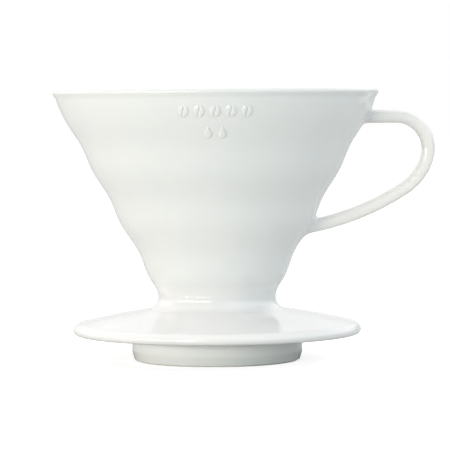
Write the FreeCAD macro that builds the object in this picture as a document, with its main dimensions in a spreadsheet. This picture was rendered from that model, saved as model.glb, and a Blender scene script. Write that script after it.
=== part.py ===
"""Pour-over coffee dripper in glazed ceramic: a ribbed cone on a saucer, with a locating ring and a loop handle.

The frame has +Z up along the axis of the cone, with its origin in the plane of the foot on that axis.
The handle lies along +X and the raised marks face -Y. Lengths are in millimetres and angles in degrees.
"""

import FreeCAD
import Part
import Sketcher
import math
import os

from FreeCAD import Placement, Rotation, Vector

# Driving dimensions: alias, value, meaning.
DIMENSIONS = [
    ("overall_height", 98.0, "foot to the top of the rim"),
    ("rim_radius", 59.2, "widest point of the everted lip"),
    ("rim_edge_height", 96.9, "height of the widest point of the lip"),
    ("lip_radius", 58.0, "outer radius where the lip starts to flare"),
    ("lip_height", 95.5, "height where the lip starts to flare"),
    ("rim_outer_round", 0.8, "rounding of the outer edge of the rim"),
    ("rim_inner_round", 1.4, "rounding of the inner edge of the rim"),
    ("wave_base_radius", 21.6, "mean outer radius at the foot of the ripples"),
    ("wave_base_height", 25.5, "height of the foot of the ripples"),
    ("wave_rise", 9.65, "height of one half ripple"),
    ("wave_spread", 5.1, "growth of the mean outer radius over one half ripple"),
    ("wave_arc_radius", 40.5, "profile radius of each half ripple"),
    ("wave_count", 7, "number of half ripples, the lowest one bulging out"),
    ("seat_top_radius", 20.5, "top radius of the seat between the cone and the saucer"),
    ("seat_slope", 0.526, "radius gained per height on that seat"),
    ("tip_height", 13.4, "height of the lower end of the cone"),
    ("hole_radius", 10.0, "radius of the drip hole"),
    ("hole_land", 2.0, "length of the cylindrical wall of the drip hole"),
    ("wall_slope", 0.56, "radius gained per height on the inner wall"),
    ("rib_count", 12, "long ribs, and as many short ribs between them"),
    ("rib_tip_half_angle", 30.0, "half angle of the cone that touches the long ribs' tips"),
    ("rib_depth", 2.8, "height of a long rib above the wall at the drip hole"),
    ("rib_half_width", 1.4, "half the width of a rib at its root"),
    ("rib_tip_round", 0.7, "radius of a rib's rounded tip"),
    ("rib_root_depth", 3.6, "depth of the rib section below its tip, before trimming"),
    ("rib_twist", 82.0, "angle that a long rib turns through between its ends"),
    ("long_rib_foot", 17.6, "height of the lower end of the long ribs"),
    ("rib_top", 91.5, "height of the upper end of every rib"),
    ("short_rib_foot", 54.0, "height of the lower end of the short ribs"),
    ("short_rib_foot_depth", 0.5, "height of a short rib above the wall at its lower end"),
    ("short_rib_depth", 1.5, "height of a short rib above the wall at its upper end"),
    ("saucer_radius", 52.5, "outer radius of the saucer"),
    ("saucer_underside", 9.3, "height of the flat underside of the saucer"),
    ("saucer_edge", 4.3, "thickness of the saucer at its edge"),
    ("saucer_edge_round", 2.0, "rounding of the saucer's edge"),
    ("saucer_slope", 11.3, "slope of the saucer's top"),
    ("waist_radius", 21.4, "radius of the saucer's neck"),
    ("waist_height", 23.1, "height of the top of the saucer's neck"),
    ("flare_radius", 4.5, "profile radius between the neck and the saucer's top"),
    ("hollow_radius", 24.6, "radius where the hollow under the saucer levels out"),
    ("hollow_shoulder", 12.2, "height of the shoulder of that hollow"),
    ("hollow_ceiling", 14.9, "height of the ceiling of that hollow"),
    ("hollow_top_radius", 19.4, "outer radius of that ceiling"),
    ("ring_outer_radius", 31.0, "outer radius of the locating ring"),
    ("ring_inner_radius", 26.8, "inner radius of the locating ring"),
    ("ring_lead_height", 3.5, "height of the lead-in taper at the foot of the ring"),
    ("ring_lead_radius", 30.2, "outer radius at the foot of that taper"),
    ("ring_round", 0.8, "rounding of the foot of the ring"),
    ("ring_joint_rise", 0.5, "rise of the bevelled joint between ring and saucer, outside to inside"),
    ("handle_height", 88.15, "height of the middle of the handle's upper limb"),
    ("handle_start", 49.0, "distance from the axis to the buried upper end"),
    ("handle_turn", 65.5, "distance from the axis to the start of the first bend"),
    ("handle_bend_a", 11.6, "radius of the first bend"),
    ("handle_angle_a", 105.1, "angle turned where the first bend ends"),
    ("handle_bend_b", 19.9, "radius of the second bend"),
    ("handle_angle_b", 147.2, "angle turned where the second bend ends"),
    ("handle_bend_c", 94.8, "radius of the lower limb"),
    ("handle_angle_c", 174.5, "angle turned at the buried lower end"),
    ("handle_thickness", 4.9, "thickness of the handle"),
    ("handle_width", 11.0, "width of the handle across the loop"),
    ("upper_bead_radius", 1.4, "radius of the slip fillet round the handle's upper end"),
    ("lower_bead_radius", 2.4, "radius of the slip fillet round the handle's lower end"),
    ("waist_bead_top_radius", 21.75, "outer radius where the slip bead at the waist runs out"),
    ("waist_bead_hollow", 3.0, "profile radius of that bead"),
    ("waist_bead_height", 2.9, "height of that bead"),
    ("mark_relief", 0.6, "height of the raised marks above the wall"),
    ("bean_count", 5, "number of raised beans in the upper row"),
    ("bean_height", 90.6, "height of the middle of the row of beans"),
    ("bean_pitch", 5.5, "distance between the middles of two beans"),
    ("bean_half_width", 2.0, "half the width of a bean"),
    ("bean_half_length", 2.5, "half the length of a bean"),
    ("bean_groove", 0.35, "half the width of the groove along a bean"),
    ("drop_count", 2, "number of raised drops in the lower row"),
    ("drop_height", 82.4, "height of the middle of the row of drops"),
    ("drop_pitch", 5.0, "distance between the middles of two drops"),
    ("drop_radius", 1.6, "radius of the round end of a drop"),
    ("drop_length", 3.6, "distance from a drop's round centre to its point"),
]

PARTS_FOLDER = "parts"
SLACK = 1.0  # how far a cutting solid reaches past what it cuts
TOUCHING = 0.001  # shapes closer than this count as touching

doc = FreeCAD.newDocument("dripper")


def make_sheet():
    """The spreadsheet of driving dimensions, one row for each."""
    sheet = doc.addObject("Spreadsheet::Sheet", "dims")
    for row, (alias, value, meaning) in enumerate(DIMENSIONS, start=1):
        sheet.set(f"A{row}", alias)
        sheet.set(f"B{row}", str(value))
        sheet.set(f"C{row}", meaning)
        sheet.setAlias(f"B{row}", alias)
    doc.recompute()
    return sheet


dims = make_sheet()


def new_body(name):
    """An empty body whose label is the sub-part's name."""
    body = doc.addObject("PartDesign::Body", name)
    body.Label = name
    return body


def plane_of(body, role):
    """One of the body's own origin planes or axes."""
    return next(feature for feature in body.Origin.OriginFeatures if feature.Role == role)


def new_sketch(body, name, role="XZ_Plane"):
    """A sketch of the body on one of its origin planes."""
    sketch = body.newObject("Sketcher::SketchObject", name)
    sketch.AttachmentSupport = [(plane_of(body, role), "")]
    sketch.MapMode = "FlatFace"
    return sketch


def measure(text):
    """The number that an expression of the sheet's aliases gives now."""
    value = dims.evalExpression(text)
    return float(getattr(value, "Value", value))


def bind(sketch, kind, places, text):
    """Adds a dimension to the sketch and binds it to an expression. A zero distance lies on an axis instead."""
    value = measure(text)
    if value == 0 and kind.startswith("Distance"):
        geometry, vertex = places[2:]
        axis = -2 if kind == "DistanceX" else -1
        sketch.addConstraint(Sketcher.Constraint("PointOnObject", geometry, vertex, axis))
        return
    index = sketch.addConstraint(Sketcher.Constraint(kind, *places, value))
    sketch.setExpression(f"Constraints[{index}]", text)


def arc_between(start, end, radius, side):
    """The short arc from start to end. Side 1 bulges to the right of that direction and -1 to the left."""
    middle = (start + end) / 2
    along = end - start
    half = along.Length / 2
    across = Vector(along.y, -along.x, 0).normalize() * side
    centre = middle - across * math.sqrt(radius**2 - half**2)
    circle = Part.Circle(centre, Vector(0, 0, 1), radius)
    first, last = (start, end) if side > 0 else (end, start)
    angles = [math.atan2(point.y - centre.y, point.x - centre.x) for point in (first, last)]
    if angles[1] < angles[0]:
        angles[1] += 2 * math.pi
    return Part.ArcOfCircle(circle, *angles)


def draw_outline(sketch, corners):
    """Draws a closed outline, counter-clockwise.

    Each corner is (x text, y text) and is followed by a line to the next one, or is
    (x text, y text, radius text, side) and is followed by an arc, as arc_between says.
    """
    points = [Vector(measure(corner[0]), measure(corner[1]), 0) for corner in corners]
    ends = []
    for index, corner in enumerate(corners):
        start = points[index]
        end = points[(index + 1) % len(points)]
        if len(corner) == 2:
            geometry = sketch.addGeometry(Part.LineSegment(start, end))
            ends.append((geometry, 1, 2))
            continue
        radius_text, side = corner[2:]
        geometry = sketch.addGeometry(arc_between(start, end, measure(radius_text), side))
        ends.append((geometry, 1, 2) if side > 0 else (geometry, 2, 1))
        bind(sketch, "Radius", (geometry,), radius_text)
    for index, (geometry, first, last) in enumerate(ends):
        following, next_first, _ = ends[(index + 1) % len(ends)]
        sketch.addConstraint(Sketcher.Constraint("Coincident", geometry, last, following, next_first))
    for (geometry, first, _), corner in zip(ends, corners):
        bind(sketch, "DistanceX", (-1, 1, geometry, first), corner[0])
        bind(sketch, "DistanceY", (-1, 1, geometry, first), corner[1])


def revolved_body(name, corners):
    """A body turned about Z from an outline in the XZ plane."""
    body = new_body(name)
    sketch = new_sketch(body, name + "_outline")
    draw_outline(sketch, corners)
    turned = body.newObject("PartDesign::Revolution", name + "_turned")
    turned.Profile = sketch
    turned.ReferenceAxis = (sketch, ["V_Axis"])
    turned.Angle = 360
    doc.recompute()
    return body


def circles_at(shape, places):
    """Names of the shape's full circular edges about Z at each (radius, height)."""
    names = []
    for number, edge in enumerate(shape.Edges, start=1):
        if not isinstance(edge.Curve, Part.Circle) or not edge.isClosed():
            continue
        for radius, height in places:
            off = abs(edge.Curve.Radius - radius) + abs(edge.Curve.Center.z - height)
            if off < TOUCHING:
                names.append(f"Edge{number}")
    return names


def round_edges(body, name, places, radius_text):
    """A fillet on the body's circular edges at each (radius text, height text)."""
    spots = [(measure(radius), measure(height)) for radius, height in places]
    base = body.Tip
    fillet = body.newObject("PartDesign::Fillet", name)
    fillet.Base = (base, circles_at(base.Shape, spots))
    fillet.Radius = measure(radius_text)
    fillet.setExpression("Radius", radius_text)
    doc.recompute()


def boolean(kind, name, base, tool):
    """A Part::Cut or Part::Common of two objects."""
    result = doc.addObject("Part::" + kind, name)
    result.Base = base
    result.Tool = tool
    result.Label = name
    doc.recompute()
    return result


def feature(name, shape):
    """A plain feature that holds a shape made with Part's own functions."""
    made = doc.addObject("Part::Feature", name)
    made.Shape = shape
    made.Label = name
    return made


SEAT_FOOT = "(dims.seat_top_radius - dims.seat_slope * (dims.waist_height - {}))"
WALL = "(dims.hole_radius + dims.wall_slope * ({} - dims.tip_height - dims.hole_land))"


def wave_corners():
    """Corners of the rippled outer wall, from the waist up: half ripples that bulge out and in by turns."""
    corners = []
    for step in range(int(dims.wave_count)):
        radius = f"dims.wave_base_radius + {step} * dims.wave_spread"
        height = f"dims.wave_base_height + {step} * dims.wave_rise"
        side = 1 if step % 2 == 0 else -1
        corners.append((radius, height, "dims.wave_arc_radius", side))
    radius = "dims.wave_base_radius + dims.wave_count * dims.wave_spread"
    height = "dims.wave_base_height + dims.wave_count * dims.wave_rise"
    corners.append((radius, height))
    return corners


def make_envelope():
    """The cone as a solid block: seat, rippled wall and everted lip, with no cavity."""
    return revolved_body(
        "cone_envelope",
        [
            ("0", "dims.tip_height"),
            (SEAT_FOOT.format("dims.tip_height"), "dims.tip_height"),
            ("dims.seat_top_radius", "dims.waist_height"),
            *wave_corners(),
            ("dims.lip_radius", "dims.lip_height"),
            ("dims.rim_radius", "dims.rim_edge_height"),
            ("dims.rim_radius", "dims.overall_height"),
            ("0", "dims.overall_height"),
        ],
    )


def make_cavity():
    """The space inside the cone: the drip hole and the plain inner wall."""
    top = f"dims.overall_height + {SLACK}"
    land = "dims.tip_height + dims.hole_land"
    return revolved_body(
        "cone_cavity",
        [
            ("0", f"dims.tip_height - {SLACK}"),
            ("dims.hole_radius", f"dims.tip_height - {SLACK}"),
            ("dims.hole_radius", land),
            (WALL.format(f"({top})"), top),
            ("0", top),
        ],
    )


def make_cone_shell(envelope, cavity):
    """The cone's wall, with its rim rounded."""
    blank = boolean("Cut", "cone_blank", envelope, cavity)
    shell = doc.addObject("Part::Fillet", "cone_shell")
    shell.Base = blank
    shell.Label = "cone_shell"
    top = measure("dims.overall_height")
    rounds = [
        (measure("dims.rim_radius"), measure("dims.rim_outer_round")),
        (measure(WALL.format("dims.overall_height")), measure("dims.rim_inner_round")),
    ]
    edges = []
    for radius, rounding in rounds:
        for edge in circles_at(blank.Shape, [(radius, top)]):
            edges.append((int(edge[4:]), rounding, rounding))
    shell.Edges = edges
    doc.recompute()
    return shell


def make_saucer():
    """The saucer: a flared neck on a sloping plate, hollow underneath, with a conical seat for the cone."""
    edge_top = "dims.saucer_underside + dims.saucer_edge"
    flare_end = "(dims.waist_radius + dims.flare_radius * (1 - sin(dims.saucer_slope)))"
    saucer = revolved_body(
        "base_saucer",
        [
            ("dims.ring_inner_radius", "dims.saucer_underside + dims.ring_joint_rise"),
            ("dims.ring_outer_radius", "dims.saucer_underside"),
            ("dims.saucer_radius", "dims.saucer_underside"),
            ("dims.saucer_radius", edge_top),
            (
                flare_end,
                "dims.waist_height - dims.flare_radius * cos(dims.saucer_slope)",
                "dims.flare_radius",
                -1,
            ),
            ("dims.waist_radius", "dims.waist_height"),
            ("dims.seat_top_radius", "dims.waist_height"),
            (SEAT_FOOT.format("dims.hollow_ceiling"), "dims.hollow_ceiling"),
            ("dims.hollow_top_radius", "dims.hollow_ceiling"),
            ("dims.hollow_radius", "dims.hollow_shoulder"),
        ],
    )
    rim = [("dims.saucer_radius", "dims.saucer_underside"), ("dims.saucer_radius", edge_top)]
    round_edges(saucer, "saucer_edge_rounding", rim, "dims.saucer_edge_round")
    return saucer


def make_ring():
    """The locating ring that drops into a server's mouth and is the foot on a table."""
    ring = revolved_body(
        "locating_ring",
        [
            ("dims.ring_inner_radius", "0"),
            ("dims.ring_lead_radius", "0"),
            ("dims.ring_outer_radius", "dims.ring_lead_height"),
            ("dims.ring_outer_radius", "dims.saucer_underside"),
            ("dims.ring_inner_radius", "dims.saucer_underside + dims.ring_joint_rise"),
        ],
    )
    foot = [("dims.ring_inner_radius", "0"), ("dims.ring_lead_radius", "0")]
    round_edges(ring, "ring_foot_rounding", foot, "dims.ring_round")
    return ring


def handle_path():
    """Points of the handle's centreline where its line and its three arcs meet, and the arcs' middles."""
    bends = [
        (measure("dims.handle_bend_a"), 0.0, measure("dims.handle_angle_a")),
        (measure("dims.handle_bend_b"), measure("dims.handle_angle_a"), measure("dims.handle_angle_b")),
        (measure("dims.handle_bend_c"), measure("dims.handle_angle_b"), measure("dims.handle_angle_c")),
    ]
    joint = Vector(measure("dims.handle_turn"), measure("dims.handle_height"), 0)
    points = [Vector(measure("dims.handle_start"), joint.y, 0), joint]
    centres = []
    for radius, begin, finish in bends:
        begin, finish = math.radians(begin), math.radians(finish)
        centre = joint - Vector(math.sin(begin), math.cos(begin), 0) * radius
        joint = centre + Vector(math.sin(finish), math.cos(finish), 0) * radius
        centres.append(centre)
        points.append(joint)
    return points, centres


def draw_handle_path(sketch):
    """Draws the centreline: a level run and three bends, each tangent to the one before."""
    points, centres = handle_path()
    run = sketch.addGeometry(Part.LineSegment(points[0], points[1]))
    bind(sketch, "DistanceX", (-1, 1, run, 1), "dims.handle_start")
    bind(sketch, "DistanceY", (-1, 1, run, 1), "dims.handle_height")
    bind(sketch, "DistanceX", (-1, 1, run, 2), "dims.handle_turn")
    sketch.addConstraint(Sketcher.Constraint("Horizontal", run))
    previous, previous_end = run, 2
    bends = [
        ("dims.handle_bend_a", "dims.handle_angle_a"),
        ("dims.handle_bend_b", "dims.handle_angle_b - dims.handle_angle_a"),
        ("dims.handle_bend_c", "dims.handle_angle_c - dims.handle_angle_b"),
    ]
    for index, (radius_text, turn_text) in enumerate(bends):
        start, end, centre = points[index + 1], points[index + 2], centres[index]
        radius = measure(radius_text)
        angles = [math.atan2(point.y - centre.y, point.x - centre.x) for point in (end, start)]
        circle = Part.Circle(centre, Vector(0, 0, 1), radius)
        arc = sketch.addGeometry(Part.ArcOfCircle(circle, *angles))
        sketch.addConstraint(Sketcher.Constraint("Tangent", previous, previous_end, arc, 2))
        bind(sketch, "Radius", (arc,), radius_text)
        turn = sketch.addConstraint(Sketcher.Constraint("Angle", arc, math.radians(measure(turn_text))))
        sketch.setExpression(f"Constraints[{turn}]", f"({turn_text}) * 1 deg")
        previous, previous_end = arc, 1


def make_handle_blank():
    """The strap of the handle, with both of its ends buried in the cone's wall."""
    body = new_body("handle_blank")
    path = new_sketch(body, "handle_path")
    draw_handle_path(path)
    section = new_sketch(body, "handle_section", "YZ_Plane")
    section.setExpression("AttachmentOffset.Base.z", "dims.handle_start")
    half = "dims.handle_thickness / 2"
    flat = "(dims.handle_width - dims.handle_thickness) / 2"
    corners = [
        (f"-{flat}", f"dims.handle_height - {half}"),
        (flat, f"dims.handle_height - {half}", half, 1),
        (flat, f"dims.handle_height + {half}"),
        (f"-{flat}", f"dims.handle_height + {half}", half, 1),
    ]
    draw_stadium(section, corners)
    pipe = body.newObject("PartDesign::AdditivePipe", "handle_strap")
    pipe.Profile = section
    pipe.Spine = (path, [])
    doc.recompute()
    return body


def draw_stadium(sketch, corners):
    """Draws a flat oval: two level lines joined by half circles."""
    points = [Vector(measure(corner[0]), measure(corner[1]), 0) for corner in corners]
    radius = (points[2].y - points[1].y) / 2
    lower = sketch.addGeometry(Part.LineSegment(points[0], points[1]))
    upper = sketch.addGeometry(Part.LineSegment(points[2], points[3]))
    ends = []
    for middle_x, begin in ((points[1].x, -math.pi / 2), (points[0].x, math.pi / 2)):
        circle = Part.Circle(Vector(middle_x, points[0].y + radius, 0), Vector(0, 0, 1), radius)
        ends.append(sketch.addGeometry(Part.ArcOfCircle(circle, begin, begin + math.pi)))
    right, left = ends
    for first, first_end, second, second_end in (
        (lower, 2, right, 1),
        (right, 2, upper, 1),
        (upper, 2, left, 1),
        (left, 2, lower, 1),
    ):
        sketch.addConstraint(Sketcher.Constraint("Tangent", first, first_end, second, second_end))
    bind(sketch, "DistanceX", (-1, 1, lower, 1), corners[0][0])
    bind(sketch, "DistanceY", (-1, 1, lower, 1), corners[0][1])
    bind(sketch, "DistanceX", (-1, 1, lower, 2), corners[1][0])
    bind(sketch, "DistanceY", (-1, 1, lower, 2), corners[1][1])
    bind(sketch, "Radius", (right,), corners[1][2])


def rib_section():
    """A rib's section: a wedge with a rounded tip at the origin, pointing along +Y."""
    tip = measure("dims.rib_tip_round")
    half = measure("dims.rib_half_width")
    depth = measure("dims.rib_root_depth")
    slant = math.atan2(half - tip, depth - tip)
    shoulder = Vector(tip * math.cos(slant), -tip + tip * math.sin(slant), 0)
    foot = Vector(half, -depth, 0)
    mirror = [Vector(-point.x, point.y, 0) for point in (shoulder, foot)]
    edges = [
        Part.Arc(shoulder, Vector(0, 0, 0), mirror[0]).toShape(),
        Part.LineSegment(mirror[0], mirror[1]).toShape(),
        Part.LineSegment(mirror[1], foot).toShape(),
        Part.LineSegment(foot, shoulder).toShape(),
    ]
    return Part.Wire(edges)


def rib_start(radius, height, half_angle, twist_per_height):
    """Where a rib's section starts: its tip faces the axis and its plane is square to the spiral."""
    tilt = math.radians(half_angle)
    up_the_cone = Vector(math.sin(tilt), 0, math.cos(tilt))
    drift = radius * math.radians(twist_per_height) * math.cos(tilt)
    along = (up_the_cone + Vector(0, drift, 0)).normalize()
    inward = Vector(-math.cos(tilt), 0, math.sin(tilt))
    return Placement(Vector(radius, 0, height), Rotation(Vector(), inward, along, "ZYX"))


def make_rib(name, foot, tip_radius, half_angle, cavity, phase):
    """One group of ribs: a section swept along a conical helix, trimmed to the cavity and repeated round the axis."""
    top = measure("dims.rib_top")
    turn = measure("dims.rib_twist") * (top - foot) / (top - measure("dims.long_rib_foot"))
    helix = doc.addObject("Part::Helix", name + "_helix")
    helix.Radius = tip_radius
    helix.Height = top - foot
    helix.Pitch = (top - foot) * 360 / turn
    helix.Angle = half_angle
    helix.LocalCoord = "Right-handed"
    helix.Placement = Placement(Vector(0, 0, foot), Rotation())
    section = feature(name + "_section", rib_section())
    section.Placement = rib_start(tip_radius, foot, half_angle, turn / (top - foot))
    sweep = doc.addObject("Part::Sweep", name + "_sweep")
    sweep.Sections = [section]
    sweep.Spine = (helix, ["Edge1"])
    sweep.Solid = True
    sweep.Frenet = True
    doc.recompute()
    trimmed = boolean("Common", name + "_trimmed", sweep, cavity)
    count = int(dims.rib_count)
    ribs = []
    for index in range(count):
        rib = max(trimmed.Shape.Solids, key=lambda solid: solid.Volume).copy()
        rib.rotate(Vector(), Vector(0, 0, 1), phase + index * 360 / count)
        ribs.append(rib)
    return feature(name, Part.makeCompound(ribs))


def make_ribs(cavity):
    """The long ribs down to the drip hole, and the short ribs that run out half way."""
    foot = measure("dims.long_rib_foot")
    tip = measure(WALL.format("dims.long_rib_foot")) - measure("dims.rib_depth")
    long_ribs = make_rib("long_spiral_ribs", foot, tip, measure("dims.rib_tip_half_angle"), cavity, 0)
    short_foot = measure("dims.short_rib_foot")
    short_tip = measure(WALL.format("dims.short_rib_foot")) - measure("dims.short_rib_foot_depth")
    rise = measure("dims.rib_top") - short_foot
    top_tip = measure(WALL.format("dims.rib_top")) - measure("dims.short_rib_depth")
    short_angle = math.degrees(math.atan2(top_tip - short_tip, rise))
    # A short rib starts higher up the same spiral, half way between two long ones.
    share = (short_foot - foot) / (measure("dims.rib_top") - foot)
    phase = measure("dims.rib_twist") * share + 180 / measure("dims.rib_count")
    short_ribs = make_rib("short_spiral_ribs", short_foot, short_tip, short_angle, cavity, phase)
    return long_ribs, short_ribs


def make_handle(blank, envelope):
    """The handle, cut to the cone's outer face."""
    return boolean("Cut", "handle", blank, envelope)


def junction_edges(joined, first, second):
    """Edges of a fused solid that lie on the surfaces of both of the shapes it was made from."""
    edges = []
    for edge in joined.Edges:
        middle = Part.Vertex(edge.valueAt((edge.FirstParameter + edge.LastParameter) / 2))
        gaps = [middle.distToShape(shape.Shells[0])[0] for shape in (first, second)]
        if max(gaps) < TOUCHING:
            edges.append(edge)
    return edges


def make_handle_beads(envelope, blank):
    """The two beads of slip that lute the handle to the cone, as fillets round its ends."""
    # The cone's seam is turned away from the handle, so that it doesn't split the edges to be rounded.
    wall = envelope.Shape.copy()
    wall.rotate(Vector(), Vector(0, 0, 1), 90)
    joined = wall.fuse(blank.Shape)
    middle = (measure("dims.handle_height") + measure("dims.waist_height")) / 2
    edges = junction_edges(joined, wall, blank.Shape)
    ends = [
        ("upper_handle_bead", "dims.upper_bead_radius", [edge for edge in edges if edge.CenterOfMass.z > middle]),
        ("lower_handle_bead", "dims.lower_bead_radius", [edge for edge in edges if edge.CenterOfMass.z < middle]),
    ]
    beads = []
    for name, radius, chosen in ends:
        filleted = joined.makeFillet(measure(radius), chosen)
        added = filleted.cut(joined, TOUCHING)
        beads.append(feature(name, max(added.Solids, key=lambda solid: solid.Volume)))
    return beads


def make_waist_bead(envelope, saucer):
    """The bead of slip in the groove where the cone sits on the saucer's neck."""
    inside = f"dims.seat_top_radius - {SLACK}"
    bead_top = "dims.waist_height + dims.waist_bead_height"
    blank = revolved_body(
        "waist_bead_blank",
        [
            (inside, "dims.waist_height"),
            ("dims.waist_radius", "dims.waist_height", "dims.waist_bead_hollow", -1),
            ("dims.waist_bead_top_radius", bead_top),
            (inside, bead_top),
        ],
    )
    trimmed = boolean("Cut", "waist_bead_trimmed", blank, envelope)
    return boolean("Cut", "waist_bead", trimmed, saucer)


def mark_frame(across, height):
    """A placement on the outer wall, facing -Y: x runs along the wall, y up it and z out of it."""
    radius = measure("dims.wave_base_radius") + measure("dims.wave_spread") * (
        (height - measure("dims.wave_base_height")) / measure("dims.wave_rise")
    )
    angle = across / radius - math.pi / 2
    lean = math.atan2(measure("dims.wave_spread"), measure("dims.wave_rise"))
    radial = Vector(math.cos(angle), math.sin(angle), 0)
    out = radial * math.cos(lean) - Vector(0, 0, 1) * math.sin(lean)
    along = Vector(-math.sin(angle), math.cos(angle), 0)
    up = out.cross(along)
    return Placement(radial * radius + Vector(0, 0, height), Rotation(along, up, out, "ZXY")), out


def bean_face():
    """A bean seen from above: an oval with a groove along it, as two halves."""
    half_width = measure("dims.bean_half_width")
    half_length = measure("dims.bean_half_length")
    groove = measure("dims.bean_groove")
    ellipse = Part.Ellipse(Vector(), half_length, half_width).toShape()
    ellipse.rotate(Vector(), Vector(0, 0, 1), 90)
    oval = Part.Face(Part.Wire(ellipse))
    slot = Part.makePlane(2 * groove, 4 * half_length, Vector(-groove, -2 * half_length, 0))
    return oval.cut(slot)


def drop_face():
    """A falling drop seen from above: a round end and a point."""
    radius = measure("dims.drop_radius")
    length = measure("dims.drop_length")
    half_angle = math.acos(radius / length)
    touch = [Vector(side * radius * math.sin(half_angle), radius * math.cos(half_angle), 0) for side in (1, -1)]
    point = Vector(0, length, 0)
    arc = Part.Arc(touch[1], Vector(0, -radius, 0), touch[0]).toShape()
    sides = [Part.LineSegment(touch[0], point).toShape(), Part.LineSegment(point, touch[1]).toShape()]
    return Part.Face(Part.Wire([arc, *sides]))


def make_marks(envelope):
    """The raised marks on the front of the cone: a row of beans over a row of drops."""
    relief = measure("dims.mark_relief")
    rows = [
        ("bean_marks", bean_face(), "dims.bean_count", "dims.bean_pitch", "dims.bean_height"),
        ("drop_marks", drop_face(), "dims.drop_count", "dims.drop_pitch", "dims.drop_height"),
    ]
    made = []
    for name, face, *sizes in rows:
        count, pitch, height = [measure(size) for size in sizes]
        solids = []
        for index in range(int(count)):
            place, out = mark_frame((index - (count - 1) / 2) * pitch, height)
            stamp = face.copy()
            stamp.Placement = place.multiply(stamp.Placement)
            stamp.translate(out * -SLACK)
            block = stamp.extrude(out * (SLACK + relief))
            solids += block.cut(envelope.Shape).Solids
        made.append(feature(name, Part.makeCompound(solids)))
    return made


def check(parts):
    """Stops if anything in the document failed, or a sub-part is null, not valid or not solid."""
    for item in doc.Objects:
        if "Invalid" in item.State or "Error" in item.State:
            raise RuntimeError(f"{item.Name} failed: {item.State}")
    for part in parts:
        shape = part.Shape
        if shape.isNull() or not shape.isValid() or not shape.Solids:
            raise RuntimeError(f"{part.Label} has no valid solid")
        print(part.Label, "solids", len(shape.Solids), "volume", round(shape.Volume / 1000, 2), "cm3")


def main():
    envelope = make_envelope()
    cavity = make_cavity()
    cone_shell = make_cone_shell(envelope, cavity)
    saucer = make_saucer()
    ring = make_ring()
    long_ribs, short_ribs = make_ribs(cavity)
    handle_blank = make_handle_blank()
    handle = make_handle(handle_blank, envelope)
    beads = make_handle_beads(envelope, handle_blank)
    waist_bead = make_waist_bead(envelope, saucer)
    marks = make_marks(envelope)
    doc.recompute()
    parts = [cone_shell, long_ribs, short_ribs, saucer, ring, handle, *beads, waist_bead, *marks]
    check(parts)
    os.makedirs(PARTS_FOLDER, exist_ok=True)
    for part in parts:
        part.Shape.exportStep(f"{PARTS_FOLDER}/{part.Label}.step")


main()
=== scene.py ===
"""The looks of the pour-over dripper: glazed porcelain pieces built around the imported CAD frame.

Everything is in metres in the frame's axes: +Z runs up the cone's axis, +X points towards the
handle, and the marks face -Y.
"""

import math

import bmesh
import bpy
from mathutils import Matrix, Vector, noise


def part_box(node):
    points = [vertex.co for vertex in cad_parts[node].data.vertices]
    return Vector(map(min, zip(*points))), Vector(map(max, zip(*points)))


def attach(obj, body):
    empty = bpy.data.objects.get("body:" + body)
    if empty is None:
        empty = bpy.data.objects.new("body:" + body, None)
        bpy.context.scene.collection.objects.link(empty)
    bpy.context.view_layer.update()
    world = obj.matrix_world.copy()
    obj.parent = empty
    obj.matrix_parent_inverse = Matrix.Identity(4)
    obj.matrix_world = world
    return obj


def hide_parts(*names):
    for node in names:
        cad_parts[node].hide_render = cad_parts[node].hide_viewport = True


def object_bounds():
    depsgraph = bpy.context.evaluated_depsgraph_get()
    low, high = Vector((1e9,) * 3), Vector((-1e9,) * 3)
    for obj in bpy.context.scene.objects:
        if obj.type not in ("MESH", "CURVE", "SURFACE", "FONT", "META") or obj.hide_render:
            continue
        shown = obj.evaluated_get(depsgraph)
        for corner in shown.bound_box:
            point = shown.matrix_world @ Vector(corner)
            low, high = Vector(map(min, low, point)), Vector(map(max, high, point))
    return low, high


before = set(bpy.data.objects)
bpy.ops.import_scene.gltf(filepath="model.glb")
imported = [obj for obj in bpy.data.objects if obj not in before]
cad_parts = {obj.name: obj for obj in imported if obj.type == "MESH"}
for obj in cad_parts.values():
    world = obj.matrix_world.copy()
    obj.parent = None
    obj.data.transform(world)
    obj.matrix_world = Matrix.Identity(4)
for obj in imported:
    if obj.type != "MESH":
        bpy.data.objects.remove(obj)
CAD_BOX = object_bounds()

MM = 0.001
BODY = "root"

# Sizes that the frame gives.
CONE_LOW, CONE_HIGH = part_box("cone_shell")
SAUCER_LOW, SAUCER_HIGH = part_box("base_saucer")
RING_LOW, RING_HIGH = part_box("locating_ring")
_, HANDLE_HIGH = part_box("handle")

RIM_RADIUS = CONE_HIGH.x
RIM_TOP = CONE_HIGH.z
CONE_TIP = CONE_LOW.z
SAUCER_RADIUS = SAUCER_HIGH.x
UNDERSIDE = SAUCER_LOW.z
WAIST = SAUCER_HIGH.z
RING_RADIUS = RING_HIGH.x
HANDLE_HALF_WIDTH = HANDLE_HIGH.y

# Points on an outline are (radius, height), and leans are angles from upright.
# Cone, outside: a straight mean line with ripples that fade upwards, and then the everted lip.
WALL_FOOT = Vector((21.6 * MM, 25.5 * MM))
WALL_TOP = Vector((57.3 * MM, 93.05 * MM))
WALL_LEAN = math.atan((WALL_TOP.x - WALL_FOOT.x) / (WALL_TOP.y - WALL_FOOT.y))
RIPPLE_PITCH = 19.3 * MM
RIPPLE_LOW = 0.62 * MM
RIPPLE_HIGH = 0.30 * MM
LIP_START = Vector((58.0 * MM, 95.3 * MM))
LIP_HEIGHT = 1.05 * MM
LIP_TAPER = 0.25 * MM
THROWN_DEPTH = 0.05 * MM
THROWN_SIZE = 22.0 * MM

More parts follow.
